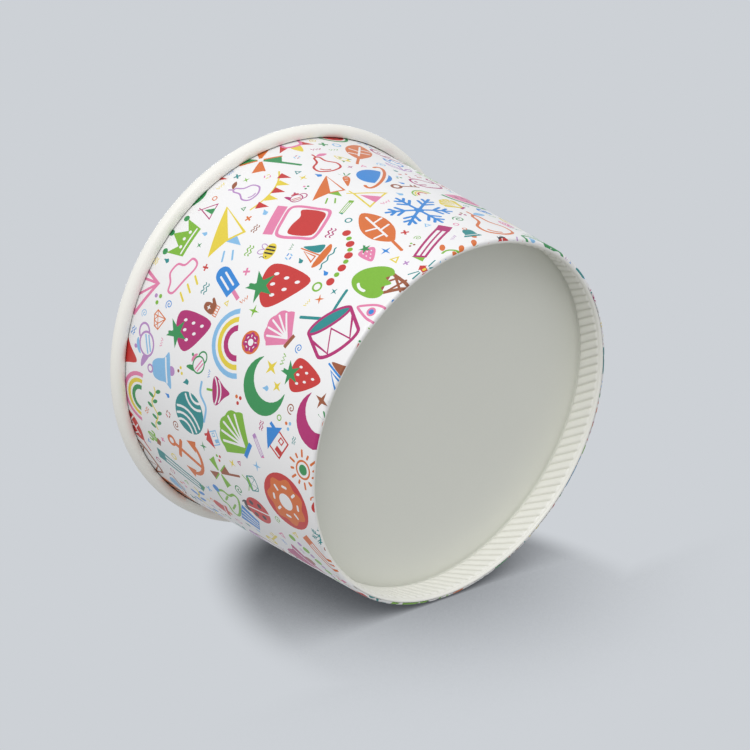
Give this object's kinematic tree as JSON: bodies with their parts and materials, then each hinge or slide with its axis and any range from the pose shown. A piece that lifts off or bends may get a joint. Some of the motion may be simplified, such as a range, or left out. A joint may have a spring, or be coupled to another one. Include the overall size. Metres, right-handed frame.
{
  "type": "paper dessert cup",
  "caption": "Tapered round paper cup for a cold dessert, with a rolled rim, a recessed bottom and a knurled hem under the base.",
  "frame": {"origin": "middle of the base, in the plane that the hem's fold stands on", "axes": "+Z is the cup's axis, from the base towards the mouth; +X and +Y are free, and the side seam lies at 225 degrees from +X"},
  "size_m": [0.096, 0.096, 0.06],
  "materials": {
    "printed_board": "white coated paperboard, satin, with an all-over pattern of small coloured drawings on its outer face",
    "white_board": "white coated paperboard, satin, unprinted"
  },
  "bodies": {
    "root": {"sidewall": "printed_board", "bottom_disc": "white_board"}
  },
  "joints": []
}
